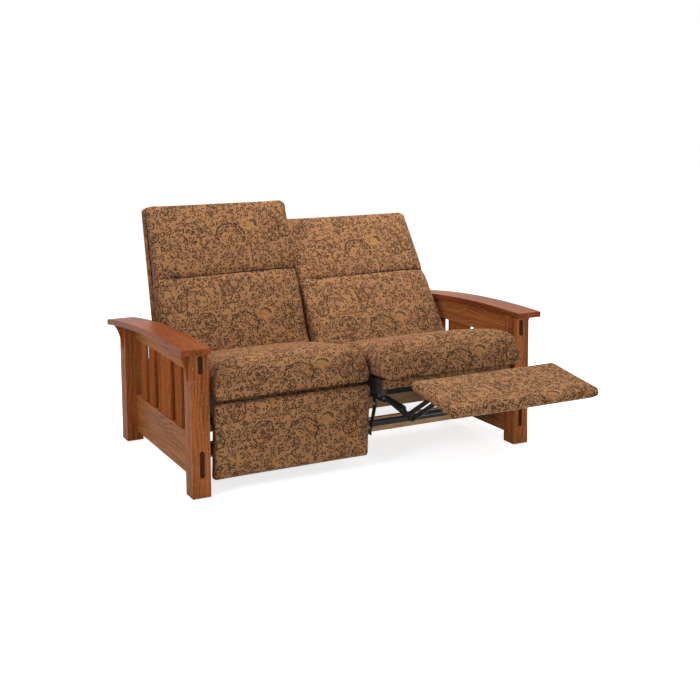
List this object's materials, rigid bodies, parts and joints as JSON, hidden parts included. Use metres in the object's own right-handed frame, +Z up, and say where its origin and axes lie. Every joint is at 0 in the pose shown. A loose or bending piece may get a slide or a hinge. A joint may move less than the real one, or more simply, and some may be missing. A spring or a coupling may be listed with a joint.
{
  "type": "reclining loveseat",
  "caption": "Reclining loveseat with bowed oak arms, slatted sides and corbels; each upholstered seat glides forward, leans back and unfolds a padded footrest.",
  "frame": {"origin": "on the floor below the middle of the whole outline, with the left seat shut and the right seat open", "axes": "+X to the right seat as seen by someone facing the settee, +Y from the front to the back, +Z up"},
  "size_m": [1.776, 1.7031, 1.135],
  "materials": {
    "oak": "stained quarter-sawn oak, satin lacquer",
    "dark_oak": "dark stained oak, satin",
    "raw_wood": "unfinished hardwood",
    "board": "unfinished plywood",
    "fabric": "woven upholstery with a small paisley and floral pattern in tan, olive and brown",
    "black_steel": "black enamel",
    "rivet_steel": "zinc plated",
    "spring_steel": "oiled wire",
    "glide": "black plastic"
  },
  "bodies": {
    "frame": {"left_front_leg": "oak", "left_rear_leg": "oak", "right_front_leg": "oak", "right_rear_leg": "oak", "left_arm": "oak", "right_arm": "oak", "left_top_rail": "oak", "right_top_rail": "oak", "left_low_rail": "oak", "right_low_rail": "oak", "left_slats": "oak", "right_slats": "oak", "corbels": "oak", "tenons": "dark_oak", "foot_glides": "glide", "rear_rail": "oak", "cross_rails": "raw_wood", "base_tubes": "black_steel", "left_base_plates": "black_steel", "left_base_rivets": "rivet_steel", "right_base_plates": "black_steel", "right_base_rivets": "rivet_steel"},
    "left_rear_link": {"left_rear_swing_links": "black_steel"},
    "left_front_link": {"left_front_swing_links": "black_steel"},
    "left_seat": {"left_seat_plates": "black_steel", "left_seat_rivets": "rivet_steel", "left_seat_frame": "raw_wood", "left_seat_front_rail": "fabric", "left_seat_springs": "spring_steel", "left_seat_cushion": "fabric"},
    "left_back": {"left_back_frame": "raw_wood", "left_back_cushion": "fabric", "left_back_cover": "fabric", "left_back_brackets": "black_steel"},
    "left_lift": {"left_lift_links": "black_steel"},
    "left_guide": {"left_guide_links": "black_steel"},
    "left_push": {"left_push_links": "black_steel"},
    "left_prop": {"left_prop_links": "black_steel"},
    "left_footrest": {"left_footrest_brackets": "black_steel", "left_footrest_board": "board", "left_footrest_pad": "fabric"},
    "right_rear_link": {"right_rear_swing_links": "black_steel"},
    "right_front_link": {"right_front_swing_links": "black_steel"},
    "right_seat": {"right_seat_plates": "black_steel", "right_seat_rivets": "rivet_steel", "right_seat_frame": "raw_wood", "right_seat_front_rail": "fabric", "right_seat_springs": "spring_steel", "right_seat_cushion": "fabric"},
    "right_back": {"right_back_frame": "raw_wood", "right_back_cushion": "fabric", "right_back_cover": "fabric", "right_back_brackets": "black_steel"},
    "right_lift": {"right_lift_links": "black_steel"},
    "right_guide": {"right_guide_links": "black_steel"},
    "right_push": {"right_push_links": "black_steel"},
    "right_prop": {"right_prop_links": "black_steel"},
    "right_footrest": {"right_footrest_brackets": "black_steel", "right_footrest_board": "board", "right_footrest_pad": "fabric"}
  },
  "joints": [
    {"name": "left_rear_swing", "type": "hinge", "parent": "frame", "child": "left_rear_link", "pos_m": [-0.37, 0.31131, 0.13029], "axis": [1, 0, 0], "range_deg": [0, 52.15]},
    {"name": "left_front_swing", "type": "hinge", "parent": "frame", "child": "left_front_link", "pos_m": [-0.37, -0.06749, 0.15013], "axis": [1, 0, 0], "range_deg": [0, 51.91]},
    {"name": "left_recline", "type": "hinge", "parent": "left_rear_link", "child": "left_seat", "pos_m": [-0.37, 0.36199, 0.25], "axis": [-1, 0, 0], "range_deg": [0, 55.14]},
    {"name": "left_back_lean", "type": "hinge", "parent": "left_seat", "child": "left_back", "pos_m": [-0.37, 0.43199, 0.33], "axis": [-1, 0, 0], "range_deg": [0, 12]},
    {"name": "left_footrest_open", "type": "hinge", "parent": "left_seat", "child": "left_lift", "pos_m": [-0.37, -0.09301, 0.3], "axis": [-1, 0, 0], "range_deg": [0, 77.8]},
    {"name": "left_footrest_guide", "type": "hinge", "parent": "left_seat", "child": "left_guide", "pos_m": [-0.37, -0.04831, 0.3041], "axis": [-1, 0, 0], "range_deg": [0, 83.47]},
    {"name": "left_footrest_push", "type": "hinge", "parent": "left_lift", "child": "left_push", "pos_m": [-0.37, -0.08949, 0.11003], "axis": [1, 0, 0], "range_deg": [0, 128.9]},
    {"name": "left_footrest_prop", "type": "hinge", "parent": "left_lift", "child": "left_prop", "pos_m": [-0.37, -0.08875, 0.07004], "axis": [1, 0, 0], "range_deg": [0, 129.22]},
    {"name": "left_footrest_turn", "type": "hinge", "parent": "left_push", "child": "left_footrest", "pos_m": [-0.37, -0.12951, 0.32636], "axis": [-1, 0, 0], "range_deg": [0, 133.9]},
    {"name": "right_rear_swing", "type": "hinge", "parent": "frame", "child": "right_rear_link", "pos_m": [0.37, 0.31131, 0.13029], "axis": [1, 0, 0], "range_deg": [-52.15, 0]},
    {"name": "right_front_swing", "type": "hinge", "parent": "frame", "child": "right_front_link", "pos_m": [0.37, -0.06749, 0.15013], "axis": [1, 0, 0], "range_deg": [-51.91, 0]},
    {"name": "right_recline", "type": "hinge", "parent": "right_rear_link", "child": "right_seat", "pos_m": [0.37, 0.2479, 0.24377], "axis": [-1, 0, 0], "range_deg": [-55.14, 0]},
    {"name": "right_back_lean", "type": "hinge", "parent": "right_seat", "child": "right_back", "pos_m": [0.37, 0.32199, 0.32], "axis": [-1, 0, 0], "range_deg": [-12, 0]},
    {"name": "right_footrest_open", "type": "hinge", "parent": "right_seat", "child": "right_lift", "pos_m": [0.37, -0.20386, 0.31752], "axis": [-1, 0, 0], "range_deg": [-77.8, 0]},
    {"name": "right_footrest_guide", "type": "hinge", "parent": "right_seat", "child": "right_guide", "pos_m": [0.37, -0.15901, 0.31927], "axis": [-1, 0, 0], "range_deg": [-83.47, 0]},
    {"name": "right_footrest_push", "type": "hinge", "parent": "right_lift", "child": "right_push", "pos_m": [0.37, -0.39082, 0.28367], "axis": [1, 0, 0], "range_deg": [-128.9, 0]},
    {"name": "right_footrest_prop", "type": "hinge", "parent": "right_lift", "child": "right_prop", "pos_m": [0.37, -0.43018, 0.27654], "axis": [1, 0, 0], "range_deg": [-129.22, 0]},
    {"name": "right_footrest_turn", "type": "hinge", "parent": "right_push", "child": "right_footrest", "pos_m": [0.37, -0.57851, 0.39844], "axis": [-1, 0, 0], "range_deg": [-133.9, 0]}
  ],
  "couplings": [
    {"joint": "left_rear_swing", "follows": "left_recline", "ratio": 0.94559},
    {"joint": "left_front_swing", "follows": "left_recline", "ratio": 0.94127},
    {"joint": "left_back_lean", "follows": "left_recline", "ratio": 0.21763},
    {"joint": "left_footrest_guide", "follows": "left_footrest_open", "ratio": 1.0727},
    {"joint": "left_footrest_push", "follows": "left_footrest_open", "ratio": 1.6565},
    {"joint": "left_footrest_prop", "follows": "left_footrest_open", "ratio": 1.6606},
    {"joint": "left_footrest_turn", "follows": "left_footrest_open", "ratio": 1.7208},
    {"joint": "right_rear_swing", "follows": "right_recline", "ratio": 0.94559},
    {"joint": "right_front_swing", "follows": "right_recline", "ratio": 0.94127},
    {"joint": "right_back_lean", "follows": "right_recline", "ratio": 0.21763},
    {"joint": "right_footrest_guide", "follows": "right_footrest_open", "ratio": 1.0727},
    {"joint": "right_footrest_push", "follows": "right_footrest_open", "ratio": 1.6565},
    {"joint": "right_footrest_prop", "follows": "right_footrest_open", "ratio": 1.6606},
    {"joint": "right_footrest_turn", "follows": "right_footrest_open", "ratio": 1.7208}
  ]
}
